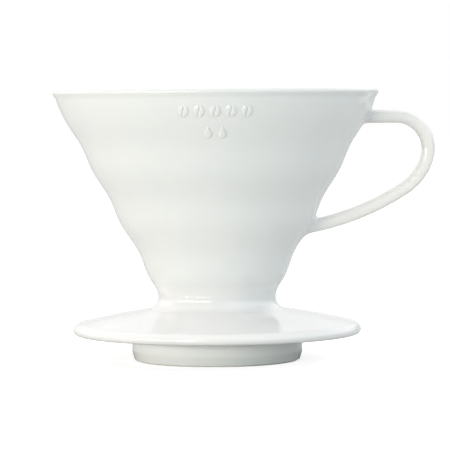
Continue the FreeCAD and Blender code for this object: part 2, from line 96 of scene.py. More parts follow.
# Cone, inside: a short upright land at the drip hole and then a straight slope.
HOLE_RADIUS = 10.0 * MM
HOLE_LAND = 2.0 * MM
INNER_SLOPE = 0.56
INNER_LEAN = math.atan(INNER_SLOPE)
SEAT_SLOPE = 0.526
SEAT_TOP_RADIUS = 20.5 * MM

# Saucer: the neck flares into a plate that slopes down to a full rounded edge, and it is hollow below.
NECK_RADIUS = 21.4 * MM
FLARE = 4.5 * MM
PLATE_SLOPE = math.radians(11.3)
PLATE_CROWN = 0.25 * MM
EDGE_INSET = 1.2 * MM
EDGE_TOP = 4.1 * MM
EDGE_MIDDLE = 2.1 * MM
SEAT_FOOT = 14.9 * MM
HOLLOW_TOP = Vector((19.4 * MM, SEAT_FOOT))
HOLLOW_SHOULDER = Vector((24.6 * MM, 12.2 * MM))

# Locating ring: glazed down to a ground foot.
RING_BORE = 26.8 * MM
RING_BEVEL_TOP = 3.5 * MM
FOOT_INNER = 27.55 * MM
FOOT_OUTER = 29.35 * MM
FOOT_TOP = 1.5 * MM

# Ribs inside the cone.
RIB_COUNT = 12
RIB_TOP = 91.5 * MM
LONG_RIB_FOOT = 17.6 * MM
SHORT_RIB_FOOT = 50.0 * MM
RIB_TWIST = math.radians(82.0)
RIB_TURN_RATE = RIB_TWIST / (RIB_TOP - LONG_RIB_FOOT)
RIB_HALF_WIDTH = 2.1 * MM
RIB_TOP_HEIGHT = 1.4 * MM
LONG_RIB_FOOT_HEIGHT = 2.6 * MM
SHORT_RIB_FOOT_HEIGHT = 0.15 * MM
LONG_RIB_FOOT_FADE = 1.6 * MM
SHORT_RIB_FOOT_FADE = 22.0 * MM
RIB_TOP_FADE = 9.0 * MM

# Handle: a level run and three bends, each tangent to the one before.
HANDLE_LEVEL = 88.15 * MM
HANDLE_START = 49.0 * MM
HANDLE_TURN = 65.5 * MM
# Each bend is a radius and how far the handle has turned by its end, in degrees from level.
HANDLE_BENDS = [
    (11.6 * MM, 105.1),
    (19.9 * MM, 147.2),
    (94.8 * MM, 174.5),
]
HANDLE_HALF_THICKNESS = 2.45 * MM
HANDLE_SLIMMING = 0.05
# A power of 2 would make the section an oval, and higher ones make it flatter with tighter corners.
SECTION_POWER = 4.0
SECTION_POINTS = 56
UPPER_BEAD_SIZE = 1.6 * MM
LOWER_BEAD_SIZE = 2.8 * MM

# Raised marks.
MARK_RELIEF = 0.48 * MM
BEAN_COUNT = 5
BEAN_PITCH = 5.5 * MM
BEAN_HALF_WIDTH = 2.0 * MM
BEAN_HALF_HEIGHT = 2.5 * MM
GROOVE_SWING = 0.28 * MM
GROOVE_HALF_WIDTH = 0.30 * MM
GROOVE_DEPTH = 0.8
DROP_COUNT = 2
DROP_PITCH = 5.0 * MM
DROP_HALF_WIDTH = 1.7 * MM
DROP_HALF_HEIGHT = 2.4 * MM
DROP_PINCH = 0.75
DROP_PINCH_POWER = 1.6

LATHE_STEPS = 288
NEARLY_STRAIGHT = math.pi - 0.01


# ---------------------------------------------------------------- outlines


def blend(start, end, share):
    """A point or number part of the way from start to end."""
    return start + (end - start) * share


def smooth(share):
    """0 to 1 with level ends."""
    share = min(1.0, max(0.0, share))
    return share * share * (3 - 2 * share)


def wall_radius(z):
    """Radius of the rippled outer wall at a height."""
    share = (z - WALL_FOOT.y) / (WALL_TOP.y - WALL_FOOT.y)
    mean = blend(WALL_FOOT.x, WALL_TOP.x, share)
    if share < 0 or share > 1:
        return mean
    size = blend(RIPPLE_LOW, RIPPLE_HIGH, share)
    return mean + size * math.sin(2 * math.pi * (z - WALL_FOOT.y) / RIPPLE_PITCH)


def neck_radius(z):
    """Radius of the saucer's flared neck at a height below the waist."""
    return NECK_RADIUS + FLARE - math.sqrt(FLARE**2 - (WAIST - z) ** 2)


def inner_radius(z):
    """Radius of the plain inner wall at a height."""
    return HOLE_RADIUS + INNER_SLOPE * (z - CONE_TIP - HOLE_LAND)


def seat_radius(z):
    """Radius of the conical seat between the cone's foot and the saucer."""
    return SEAT_TOP_RADIUS - SEAT_SLOPE * (WAIST - z)


def corner(radius, height, rounding=0.0):
    """A corner of an outline, to be rounded by that radius."""
    return Vector((radius, height)), rounding


def round_corners(corners, spacing=1.0 * MM, degrees=9.0):
    """Points along a closed outline: arcs at rounded corners, and evenly spaced on straight runs."""
    arcs = []
    for index, (point, rounding) in enumerate(corners):
        before = (corners[index - 1][0] - point).normalized()
        after = (corners[(index + 1) % len(corners)][0] - point).normalized()
        opening = before.angle(after)
        if rounding == 0 or opening > NEARLY_STRAIGHT:
            arcs.append([point])
            continue
        reach = rounding / math.tan(opening / 2)
        centre = point + (before + after).normalized() * (rounding / math.sin(opening / 2))
        first = point + before * reach - centre
        turn = first.angle_signed(point + after * reach - centre)
        steps = max(2, math.ceil(abs(math.degrees(turn)) / degrees))
        turned = [Matrix.Rotation(-turn * step / steps, 2) @ first for step in range(steps + 1)]
        arcs.append([centre + spoke for spoke in turned])
    outline = []
    for index, arc in enumerate(arcs):
        outline += arc
        gap = arcs[(index + 1) % len(arcs)][0] - arc[-1]
        pieces = max(1, math.ceil(gap.length / spacing))
        outline += [arc[-1] + gap * step / pieces for step in range(1, pieces)]
    return outline


def lathe(outline, wobble=None):
    """Vertices and faces of a closed outline turned about Z. wobble gives the change of its radius."""
    vertices = []
    for step in range(LATHE_STEPS):
        angle = 2 * math.pi * step / LATHE_STEPS
        for point in outline:
            radius = point.x + (wobble(angle, point) if wobble else 0.0)
            vertices.append((radius * math.cos(angle), radius * math.sin(angle), point.y))
    return vertices, tube_faces(LATHE_STEPS, len(outline), True)


def tube_faces(rings, ring_size, closed):
    """Quads that join rings of vertices one after another, and the last to the first if closed."""
    faces = []
    for ring in range(rings if closed else rings - 1):
        following = (ring + 1) % rings
        for index in range(ring_size):
            beside = (index + 1) % ring_size
            here, there = ring * ring_size, following * ring_size
            faces.append((here + index, there + index, there + beside, here + beside))
    return faces


def end_caps(rings, ring_size):
    """The two faces that close a tube at its first and last rings."""
    last = (rings - 1) * ring_size
    first_cap = tuple(range(ring_size))
    last_cap = tuple(last + index for index in reversed(range(ring_size)))
    return [first_cap, last_cap]


def join(parts):
    """Vertices and faces of several meshes, as one."""
    vertices, faces = [], []
    for part_vertices, part_faces in parts:
        start = len(vertices)
        vertices += part_vertices
        faces += [tuple(start + index for index in face) for face in part_faces]
    return vertices, faces


# ---------------------------------------------------------------- materials

BODY_WHITE = (0.800, 0.802, 0.790)
THIN_WHITE = (0.785, 0.782, 0.765)
POOLED_WHITE = (0.778, 0.788, 0.780)
SPECK_SHADE = 0.86
NO_TINT = (1.0, 1.0, 1.0)
# Painted light: the handle is painted lighter and warmer than the cone, and the saucer and the waist bead
# a little warmer, for the light that falls on them.
HANDLE_PAINTED_LIGHT = (1.097, 1.060, 1.045)
SAUCER_PAINTED_LIGHT = (1.022, 1.0, 1.003)
WAIST_PAINTED_LIGHT = (1.011, 1.0, 1.0)
# The handle's painted lighter, warmer tint comes in over these distances from the cone's wall.
FADE_START = 0.5 * MM
FADE_END = 6.0 * MM
# Stops of the colour ramp of the ground foot.
BARE_CLAYS = [
    (0.30, (0.60, 0.56, 0.49, 1.0)),
    (0.55, (0.76, 0.72, 0.65, 1.0)),
    (0.80, (0.82, 0.79, 0.73, 1.0)),
]


def node(tree, kind, **inputs):
    """A shader node with some of its inputs set."""
    made = tree.nodes.new(kind)
    for name, value in inputs.items():
        made.inputs[name.replace("_", " ")].default_value = value
    return made


def grey(value):
    """An opaque grey."""
    return (value, value, value, 1.0)


def noise_texture(tree, place, scale, detail, roughness=0.5):
    """A cloudy pattern from 0 to 1 over the places, with scale as waves to the metre."""
    made = node(tree, "ShaderNodeTexNoise", Scale=scale, Detail=detail, Roughness=roughness)
    tree.links.new(place, made.inputs["Vector"])
    return made.outputs["Fac"]


def through_ramp(tree, value, stops):
    """The colour that a ramp with the given (position, colour) stops gives to a value."""
    made = tree.nodes.new("ShaderNodeValToRGB")
    elements = made.color_ramp.elements
    while len(elements) < len(stops):
        elements.new(0.5)
    for element, (position, colour) in zip(elements, stops):
        element.position = position
        element.color = colour
    tree.links.new(value, made.inputs["Fac"])
    return made.outputs["Color"]


def product(tree, first, second):
    """One number times another."""
    made = node(tree, "ShaderNodeMath")
    made.operation = "MULTIPLY"
    for socket, value in zip(made.inputs, (first, second)):
        if isinstance(value, float):
            socket.default_value = value
        else:
            tree.links.new(value, socket)
    return made.outputs[0]


def step_between(tree, value, low, high):
    """A number that rises smoothly from 0 to 1 as the value goes from low to high."""
    made = node(tree, "ShaderNodeMapRange", From_Min=low, From_Max=high)
    made.interpolation_type = "SMOOTHSTEP"
    tree.links.new(value, made.inputs["Value"])
    return made.outputs["Result"]


def mix_colours(tree, share, first, second):
    """A colour that goes from the first to the second as share goes from 0 to 1."""
    made = tree.nodes.new("ShaderNodeMix")
    made.data_type = "RGBA"
    tree.links.new(share, made.inputs["Factor"])
    for socket, colour in (("A", first), ("B", second)):
        if isinstance(colour, tuple):
            made.inputs[socket].default_value = colour
        else:
            tree.links.new(colour, made.inputs[socket])
    return made.outputs["Result"]


def shaded(colour, lightness, tint=NO_TINT):
    """An opaque colour, lighter or darker and tinted."""
    return tuple(lightness * share * part for part, share in zip(colour, tint)) + (1.0,)


def new_material(name):
    """A material, with its node tree, its shader and the places of the surface in the object's axes."""
    material = bpy.data.materials.new(name)
    material.use_nodes = True
    tree = material.node_tree
    place = tree.nodes.new("ShaderNodeTexCoord").outputs["Object"]
    return material, tree, tree.nodes["Principled BSDF"], place


def add_bump(tree, shader, height, strength):
    """Gives a shader a fine relief."""
    bump = node(tree, "ShaderNodeBump", Strength=strength, Distance=0.05 * MM)
    tree.links.new(height, bump.inputs["Height"])
    tree.links.new(bump.outputs["Normal"], shader.inputs["Normal"])


def glaze_colour(tree, place, lightness, tint):
    """Porcelain under glaze: faintly cloudy, with cooler pools, thin warm edges and a few small specks."""
    body = shaded(BODY_WHITE, lightness, tint)
    thin = shaded(THIN_WHITE, lightness, tint)
    pooled = shaded(POOLED_WHITE, lightness, tint)
    clouds = noise_texture(tree, place, scale=38.0, detail=4.0, roughness=0.55)
    cloudy = through_ramp(tree, clouds, [(0.30, pooled), (0.52, body), (0.75, body)])

    pointiness = tree.nodes.new("ShaderNodeNewGeometry").outputs["Pointiness"]
    edge = through_ramp(tree, pointiness, [(0.505, grey(0.0)), (0.56, grey(1.0))])
    edged = mix_colours(tree, edge, cloudy, thin)

    cells = node(tree, "ShaderNodeTexVoronoi", Scale=260.0, Randomness=1.0)
    tree.links.new(place, cells.inputs["Vector"])
    speck = through_ramp(tree, cells.outputs["Distance"], [(0.030, grey(1.0)), (0.075, grey(0.0))])
    scatter = noise_texture(tree, place, scale=90.0, detail=1.0)
    few = through_ramp(tree, scatter, [(0.62, grey(0.0)), (0.68, grey(1.0))])
    return mix_colours(tree, product(tree, speck, few), edged, shaded(body[:3], SPECK_SHADE))


def make_glaze(name, lightness, roughness=0.045, tint=NO_TINT):
    """Clear glossy glaze over porcelain, with a faint orange peel."""
    material, tree, shader, place = new_material(name)
    tree.links.new(glaze_colour(tree, place, lightness, tint), shader.inputs["Base Color"])
    shine = noise_texture(tree, place, scale=120.0, detail=3.0)
    gloss = through_ramp(tree, shine, [(0.35, grey(roughness * 0.8)), (0.70, grey(roughness * 1.3))])
    tree.links.new(gloss, shader.inputs["Roughness"])
    peel = noise_texture(tree, place, scale=420.0, detail=2.0, roughness=0.4)
    add_bump(tree, shader, peel, strength=0.10)
    shader.inputs["IOR"].default_value = 1.52
    shader.inputs["Coat Weight"].default_value = 0.3
    shader.inputs["Coat Roughness"].default_value = 0.03
    shader.inputs["Coat IOR"].default_value = 1.5
    shader.inputs["Subsurface Weight"].default_value = 0.12
    shader.inputs["Subsurface Radius"].default_value = (1.0, 0.9, 0.75)
    shader.inputs["Subsurface Scale"].default_value = 1.2 * MM
    return material


def fade_in_painted_light(material, tint):
    """Tints a glaze by distance from the cone's wall: not at all on it, fully some millimetres out; the
    handle's tint is painted light.
    """
    tree = material.node_tree
    base = tree.nodes["Principled BSDF"].inputs["Base Color"]
    glaze = base.links[0].from_socket
    outward = Vector((math.cos(WALL_LEAN), 0, -math.sin(WALL_LEAN)))
    at_wall = outward.dot(Vector((WALL_FOOT.x, 0, WALL_FOOT.y)))
    distance = tree.nodes.new("ShaderNodeVectorMath")
    distance.operation = "DOT_PRODUCT"
    distance.inputs[1].default_value = outward
    tree.links.new(tree.nodes.new("ShaderNodeTexCoord").outputs["Object"], distance.inputs[0])
    share = step_between(tree, distance.outputs["Value"], at_wall + FADE_START, at_wall + FADE_END)
    tinted = tree.nodes.new("ShaderNodeMix")
    tinted.data_type = "RGBA"
    tinted.blend_type = "MULTIPLY"
    tinted.inputs["Factor"].default_value = 1.0
    tree.links.new(glaze, tinted.inputs["A"])
    tree.links.new(mix_colours(tree, share, grey(1.0), shaded(tint, 1.0)), tinted.inputs["B"])
    tree.links.new(tinted.outputs["Result"], base)


def make_bare_clay():
    """Unglazed porcelain, ground on a wheel: matt, finely scored in rings, with worn grey marks."""
    material, tree, shader, place = new_material("bare_clay")
    grain = noise_texture(tree, place, scale=900.0, detail=6.0, roughness=0.7)
    tree.links.new(through_ramp(tree, grain, BARE_CLAYS), shader.inputs["Base Color"])
    rings = node(tree, "ShaderNodeTexWave", Scale=500.0, Distortion=0.6)
    rings.wave_type = "RINGS"
    rings.rings_direction = "Z"
    tree.links.new(place, rings.inputs["Vector"])
    add_bump(tree, shader, rings.outputs["Fac"], strength=0.35)
    shader.inputs["Roughness"].default_value = 0.85
    return material


# ---------------------------------------------------------------- pieces


def make_piece(name, vertices, faces, material, cad_node):
    """A smooth mesh that rides on the body, has a material and stands for a CAD node."""
    mesh = bpy.data.meshes.new(name)
    mesh.from_pydata([tuple(vertex) for vertex in vertices], [], faces)
    mesh.validate()
    mesh.shade_smooth()
    piece = bpy.data.objects.new(name, mesh)
    bpy.context.scene.collection.objects.link(piece)
    face_outwards(piece)
    mesh.materials.append(material)
    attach(piece, BODY)
    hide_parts(cad_node)


def face_outwards(piece):
    """Turns every face of a closed mesh outwards."""
    shape = bmesh.new()
    shape.from_mesh(piece.data)
    bmesh.ops.recalc_face_normals(shape, faces=shape.faces)
    shape.to_mesh(piece.data)
    shape.free()


def thrown_wobble(angle, point):
    """The faint unevenness of a hand-finished wall, a few hundredths of a millimetre."""
    place = Vector((math.cos(angle) * point.x, math.sin(angle) * point.x, point.y))
    return THROWN_DEPTH * noise.noise(place / THROWN_SIZE)


def make_cone(material):
    """The cone's wall: drip hole, plain inside, rounded everted rim and rippled outside."""
    steps = 150
    outside = []
    for step in range(steps + 1):
        z = blend(WALL_FOOT.y, WALL_TOP.y, step / steps)
        outside.append(corner(wall_radius(z), z))
    corners = [
        corner(HOLE_RADIUS, CONE_TIP, 0.7 * MM),
        corner(seat_radius(CONE_TIP), CONE_TIP, 0.5 * MM),
        corner(SEAT_TOP_RADIUS, WAIST),
        *outside,
        corner(LIP_START.x, LIP_START.y, 3.0 * MM),
        corner(RIM_RADIUS, RIM_TOP - LIP_HEIGHT, 0.75 * MM),
        corner(RIM_RADIUS - LIP_TAPER, RIM_TOP, 0.6 * MM),
        corner(inner_radius(RIM_TOP), RIM_TOP, 1.5 * MM),
        corner(HOLE_RADIUS, CONE_TIP + HOLE_LAND, 1.2 * MM),
    ]
    vertices, faces = lathe(round_corners(corners), thrown_wobble)
    make_piece("cone_shell_glazed", vertices, faces, material, "cone_shell")


def flare_corners():
    """The neck's flare, from the plate up to the waist."""
    steps = 16
    corners = []
    for step in range(steps + 1):
        angle = -blend(math.pi / 2 + PLATE_SLOPE, math.pi, step / steps)
        radius = NECK_RADIUS + FLARE * (1 + math.cos(angle))
        corners.append(corner(radius, WAIST + FLARE * math.sin(angle)))
    return corners


def crown_corners(outer, inner):
    """The plate's top between its edge and the flare, raised a little in the middle."""
    steps = 12
    corners = []
    for step in range(1, steps):
        share = step / steps
        point = blend(outer, inner, share)
        corners.append(corner(point.x, point.y + PLATE_CROWN * math.sin(math.pi * share) ** 2))
    return corners


def make_saucer(material):
    """The saucer: rounded edge, crowned top, flared neck, and a hollow below with its conical seat."""
    flare = flare_corners()
    top_inner = flare[0][0]
    top_outer = Vector((SAUCER_RADIUS - EDGE_INSET, UNDERSIDE + EDGE_TOP))
    corners = [
        corner(RING_RADIUS - 3.4 * MM, UNDERSIDE, 0.8 * MM),
        corner(SAUCER_RADIUS - 6.0 * MM, UNDERSIDE, 8.0 * MM),
        corner(SAUCER_RADIUS - 0.6 * MM, UNDERSIDE + 0.35 * MM, 1.5 * MM),
        corner(SAUCER_RADIUS, UNDERSIDE + EDGE_MIDDLE, 1.6 * MM),
        corner(top_outer.x, top_outer.y, 1.8 * MM),
        *crown_corners(top_outer, top_inner),
        *flare,
        corner(SEAT_TOP_RADIUS - 0.1 * MM, WAIST),
        corner(seat_radius(SEAT_FOOT), SEAT_FOOT, 0.3 * MM),
        corner(HOLLOW_TOP.x, HOLLOW_TOP.y, 1.2 * MM),
        corner(HOLLOW_SHOULDER.x, HOLLOW_SHOULDER.y, 1.8 * MM),
    ]
    vertices, faces = lathe(round_corners(corners), thrown_wobble)
    make_piece("base_saucer_glazed", vertices, faces, material, "base_saucer")


def make_ring(material):
    """The locating ring's glazed wall, which stops short of the ground foot."""
    joint = UNDERSIDE + 0.2 * MM
    corners = [
        corner(RING_BORE + 0.5 * MM, 0.35 * MM, 0.3 * MM),
        corner(RING_RADIUS - 0.9 * MM, 0.30 * MM, 0.5 * MM),
        corner(RING_RADIUS, RING_BEVEL_TOP, 2.0 * MM),
        corner(RING_RADIUS, joint),
        corner(RING_BORE, joint),
        corner(RING_BORE, 0.9 * MM, 0.6 * MM),
    ]
    vertices, faces = lathe(round_corners(corners), thrown_wobble)
    make_piece("locating_ring_glazed", vertices, faces, material, "locating_ring")


def make_bare_foot(material):
    """The ground foot, where the clay shows below the edge of the glaze."""
    flare = 0.1 * MM
    rounding = 0.15 * MM
    corners = [
        corner(FOOT_INNER, RING_LOW.z, rounding),
        corner(FOOT_OUTER, RING_LOW.z, rounding),
        corner(FOOT_OUTER + flare, FOOT_TOP),
        corner(FOOT_INNER - flare, FOOT_TOP),
    ]
    vertices, faces = lathe(round_corners(corners, spacing=0.4 * MM))
    make_piece("bare_foot", vertices, faces, material, "locating_ring")


def make_waist_bead(material):
    """The slip that fills the groove between the cone and the saucer's neck, tangent to both."""
    top = 27.6 * MM
    step = 0.1 * MM
    slope = (wall_radius(top + step) - wall_radius(top - step)) / (2 * step)
    low = Vector((NECK_RADIUS, WAIST))
    high = Vector((wall_radius(top), top))
    meeting = Vector((low.x, high.y - (high.x - low.x) / slope))
    proud = 0.01 * MM
    tuck = 0.03 * MM
    reach = 1.5 * MM
    tucked_steps = 4
    hollow_steps = 20
    below = []
    above = []
    # Both ends run on a little way under the skin, so that no edge shows.
    for index in range(1, tucked_steps + 1):
        share = index / tucked_steps
        sink = blend(proud, -tuck, share)
        below.append(corner(neck_radius(WAIST - share * reach) + sink, WAIST - share * reach))
        above.append(corner(wall_radius(top + share * reach) + sink, top + share * reach))
    hollow = []
    for index in range(hollow_steps + 1):
        share = index / hollow_steps
        point = blend(blend(low, meeting, share), blend(meeting, high, share), share)
        hollow.append(corner(point.x + proud, point.y))
    back = [corner(high.x - 1.0 * MM, top + reach), corner(low.x - 0.5 * MM, WAIST - reach)]
    outline = round_corners([*reversed(below), *hollow, *above, *back], spacing=0.3 * MM)
    vertices, faces = lathe(outline, thrown_wobble)
    make_piece("waist_bead_glazed", vertices, faces, material, "waist_bead")


def rib_height(z, foot, foot_height, foot_fade):
    """Height of a rib above the wall, fading out at both of its ends."""
    share = (z - foot) / (RIB_TOP - foot)
    fade = math.sqrt(smooth((z - foot) / foot_fade)) * smooth((RIB_TOP - z) / RIB_TOP_FADE)
    return blend(foot_height, RIB_TOP_HEIGHT, share) * fade


def rib_mesh(phase, foot, foot_height, foot_fade):
    """Vertices and faces of one rib: a soft ridge with hollow flanks that runs out into the wall."""
    stations = 90
    across = 16
    buried = 0.5 * MM
    buried_offsets = (0.9, 0.0, -0.9)
    sink = 0.05 * MM
    vertices = []
    for station in range(stations + 1):
        share = station / stations
        # Stations lie closer together near both ends, where the rib fades.
        z = blend(foot, RIB_TOP, 0.5 - 0.5 * math.cos(math.pi * share))
        angle = phase + RIB_TURN_RATE * (z - LONG_RIB_FOOT)
        radius = inner_radius(z)
        radial = Vector((math.cos(angle), math.sin(angle), 0))
        around = Vector((-math.sin(angle), math.cos(angle), 0))
        up_wall = radial * math.sin(INNER_LEAN) + Vector((0, 0, math.cos(INNER_LEAN)))
        along = (up_wall + around * (radius * RIB_TURN_RATE * math.cos(INNER_LEAN))).normalized()
        side = along.cross(off_inner_wall(radial))
        centre = radial * radius + Vector((0, 0, z))
        height = rib_height(z, foot, foot_height, foot_fade)
        for step in range(across + 1):
            offset = 2 * step / across - 1
            rise = height * math.cos(math.pi * offset / 2) ** 2 - sink
            vertices.append(on_inner_wall(centre + side * (RIB_HALF_WIDTH * offset), rise))
        for offset in buried_offsets:
            vertices.append(on_inner_wall(centre + side * (RIB_HALF_WIDTH * offset), -buried))
    ring_size = across + 1 + len(buried_offsets)
    faces = tube_faces(stations + 1, ring_size, False) + end_caps(stations + 1, ring_size)
    return vertices, faces


def off_inner_wall(radial):
    """The direction straight off the inner wall, where the wall lies that way from the axis."""
    return Vector((0, 0, math.sin(INNER_LEAN))) - radial * math.cos(INNER_LEAN)


def on_inner_wall(point, height):
    """The point nearest to a given one that is that high above the inner wall."""
    radial = Vector((point.x, point.y, 0)).normalized()
    depth = (inner_radius(point.z) - math.hypot(point.x, point.y)) * math.cos(INNER_LEAN)
    return point + off_inner_wall(radial) * (height - depth)


def make_ribs(material):
    """The long ribs that spiral down to the drip hole, and the short ones between them."""
    between = math.pi / RIB_COUNT
    groups = [
        ("long_spiral_ribs", 0.0, LONG_RIB_FOOT, LONG_RIB_FOOT_HEIGHT, LONG_RIB_FOOT_FADE),
        ("short_spiral_ribs", between, SHORT_RIB_FOOT, SHORT_RIB_FOOT_HEIGHT, SHORT_RIB_FOOT_FADE),
    ]
    for name, phase, *shape in groups:
        turns = [phase + 2 * math.pi * index / RIB_COUNT for index in range(RIB_COUNT)]
        vertices, faces = join(rib_mesh(turn, *shape) for turn in turns)
        make_piece(name + "_glazed", vertices, faces, material, name)


# ---------------------------------------------------------------- handle


def handle_bends():
    """The handle's bends as (centre, radius, start angle, turn), with the angles from straight up."""
    joint = Vector((HANDLE_TURN, HANDLE_LEVEL))
    heading = 0.0
    bends = []
    for radius, end_degrees in HANDLE_BENDS:
        turn = math.radians(end_degrees) - heading
        centre = joint - Vector((math.sin(heading), math.cos(heading))) * radius
        bends.append((centre, radius, heading, turn))
        heading += turn
        joint = centre + Vector((math.sin(heading), math.cos(heading))) * radius
    return bends


BENDS = handle_bends()
HANDLE_RUN = HANDLE_TURN - HANDLE_START
HANDLE_LENGTH = HANDLE_RUN + sum(radius * turn for _, radius, _, turn in BENDS)


def handle_at(distance):
    """The handle's centre and outward direction, in the XZ plane, that far along it."""
    if distance <= HANDLE_RUN:
        return Vector((HANDLE_START + distance, HANDLE_LEVEL)), Vector((0, 1))
    distance -= HANDLE_RUN
    for bend in BENDS:
        centre, radius, heading, turn = bend
        if distance <= radius * turn or bend is BENDS[-1]:
            angle = heading + distance / radius
            outward = Vector((math.sin(angle), math.cos(angle)))
            return centre + outward * radius, outward
        distance -= radius * turn


def super_oval(half_size, share):
    """A section's place along one axis, where share is the sine or cosine of the angle round it."""
    return half_size * math.copysign(abs(share) ** (2 / SECTION_POWER), share)


def super_oval_slope(half_size, place):
    """How the section's outward normal leans along one axis at a place."""
    return math.copysign((abs(place) / half_size) ** (SECTION_POWER - 1), place) / half_size


def strap_section():
    """Places round the strap's section as (across, outward, across normal, outward normal)."""
    places = []
    for index in range(SECTION_POINTS):
        angle = 2 * math.pi * (index + 0.5) / SECTION_POINTS
        across = super_oval(HANDLE_HALF_WIDTH, math.cos(angle))
        outward = super_oval(HANDLE_HALF_THICKNESS, math.sin(angle))
        across_slope = super_oval_slope(HANDLE_HALF_WIDTH, across)
        outward_slope = super_oval_slope(HANDLE_HALF_THICKNESS, outward)
        normal = Vector((across_slope, outward_slope)).normalized()
        places.append((across, outward, normal.x, normal.y))
    return places


def strap_girth(distance):
    """How full the strap is along its length: a little slimmer in the middle."""
    share = distance / HANDLE_LENGTH
    return 1.0 - HANDLE_SLIMMING * math.sin(math.pi * share) ** 2


def strap_point(place, distance, proud=0.0):
    """A point of the strap's skin that far along it, raised by proud."""
    across, outward, across_normal, outward_normal = place
    centre, up = handle_at(distance)
    flat = centre + up * (outward * strap_girth(distance) + proud * outward_normal)
    return Vector((flat.x, across + proud * across_normal, flat.y))


def wall_gap(point):
    """How far a point is outside the cone's rippled wall, measured level."""
    return math.hypot(point.x, point.y) - wall_radius(point.z)


def crossing(place, low, high):
    """How far along the strap one of its lines crosses the wall, between two distances."""
    halvings = 40
    inside_first = wall_gap(strap_point(place, low)) < 0
    for _ in range(halvings):
        middle = (low + high) / 2
        if (wall_gap(strap_point(place, middle)) < 0) == inside_first:
            low = middle
        else:
            high = middle
    return (low + high) / 2


SECTION = strap_section()
HALF_WAY = HANDLE_LENGTH / 2
# How far along the strap each of its lines leaves the wall, and how far along it comes back.
STARTS = [crossing(place, 0, HALF_WAY) for place in SECTION]
ENDS = [crossing(place, HALF_WAY, HANDLE_LENGTH) for place in SECTION]


def make_handle(material):
    """The strap: flat, with rounded corners, along the loop, and with both ends inside the wall."""
    buried = 1.2 * MM
    rings = 150
    vertices = []
    for ring in range(rings + 1):
        share = ring / rings
        for place, start, end in zip(SECTION, STARTS, ENDS):
            vertices.append(strap_point(place, blend(start - buried, end + buried, share)))
    faces = tube_faces(rings + 1, SECTION_POINTS, False) + end_caps(rings + 1, SECTION_POINTS)
    make_piece("handle_glazed", vertices, faces, material, "handle")


def on_outer_wall(point, depth=0.0):
    """The point of the outer wall, or that deep in it, level with a point."""
    radial = Vector((point.x, point.y, 0)).normalized()
    return radial * (wall_radius(point.z) - depth) + Vector((0, 0, point.z))


def make_handle_bead(name, crossings, way, size, material):
    """The slip fillet round one end of the handle: hollow, and tangent to both the strap and the wall.

    way is 1 where the strap runs away from the wall and -1 where it runs back to it.
    """
    steps = 14
    proud = 0.01 * MM
    tuck = 0.02 * MM
    reach = 0.9 * MM
    depth = 0.6 * MM
    vertices = []
    for place, distance in zip(SECTION, crossings):
        tail = distance + way * (size + reach)
        joint = strap_point(place, distance)
        normal = (strap_point(place, distance, 1.0 * MM) - joint).normalized()
        on_strap = strap_point(place, distance + way * size, proud)
        on_wall = on_outer_wall(joint + normal * size, -proud)
        # Both ends run on a little way under the skin, so that no edge shows.
        vertices.append(strap_point(place, tail, -tuck))
        for step in range(steps + 1):
            share = step / steps
            near_strap = blend(on_strap, joint, share)
            near_wall = blend(joint, on_wall, share)
            vertices.append(blend(near_strap, near_wall, share))
        vertices.append(on_outer_wall(joint + normal * (size + reach), tuck))
        vertices.append(on_outer_wall(joint + normal * (size + reach), depth))
        vertices.append(on_outer_wall(joint - normal * depth, depth))
        vertices.append(strap_point(place, tail, -depth))
    ring_size = len(vertices) // SECTION_POINTS
    faces = tube_faces(SECTION_POINTS, ring_size, True)
    make_piece(name + "_glazed", vertices, faces, material, name)


# ---------------------------------------------------------------- raised marks


def front_wall_point(across, height, rise):
    """A point on the front of the cone, across to the right, at a height, and rise proud of the wall."""
    angle = -math.pi / 2 + across / wall_radius(height)
    radial = Vector((math.cos(angle), math.sin(angle), 0))
    step = 0.1 * MM
    slope = (wall_radius(height + step) - wall_radius(height - step)) / (2 * step)
    outward = (radial - Vector((0, 0, slope))).normalized()
    return radial * wall_radius(height) + Vector((0, 0, height)) + outward * rise


def dome(share):
    """Height of a soft dome, from 1 in its middle to 0 at its edge, where share is 1."""
    flatness = 4
    steepness = 0.8
    return (1 - share**flatness) ** steepness


def bean_rise(across, along, share):
    """Relief of a bean: a soft dome with a curved groove along it."""
    groove = GROOVE_SWING * math.sin(math.pi * along / BEAN_HALF_HEIGHT)
    dent = math.exp(-(((across - groove) / GROOVE_HALF_WIDTH) ** 2))
    return dome(share) * (1 - GROOVE_DEPTH * dent)


def drop_rise(across, along, share):
    """Relief of a drop: a plain soft dome, whatever the place across and along it."""
    return dome(share)


def bean_edge(angle):
    """A bean's outline: an oval."""
    return BEAN_HALF_WIDTH * math.cos(angle), BEAN_HALF_HEIGHT * math.sin(angle)


def drop_edge(angle):
    """A drop's outline: round below and drawn out to a point above."""
    up = (1 + math.sin(angle)) / 2
    half_width = DROP_HALF_WIDTH * (1 - DROP_PINCH * up**DROP_PINCH_POWER)
    return half_width * math.cos(angle), blend(-DROP_HALF_HEIGHT, DROP_HALF_HEIGHT, up)


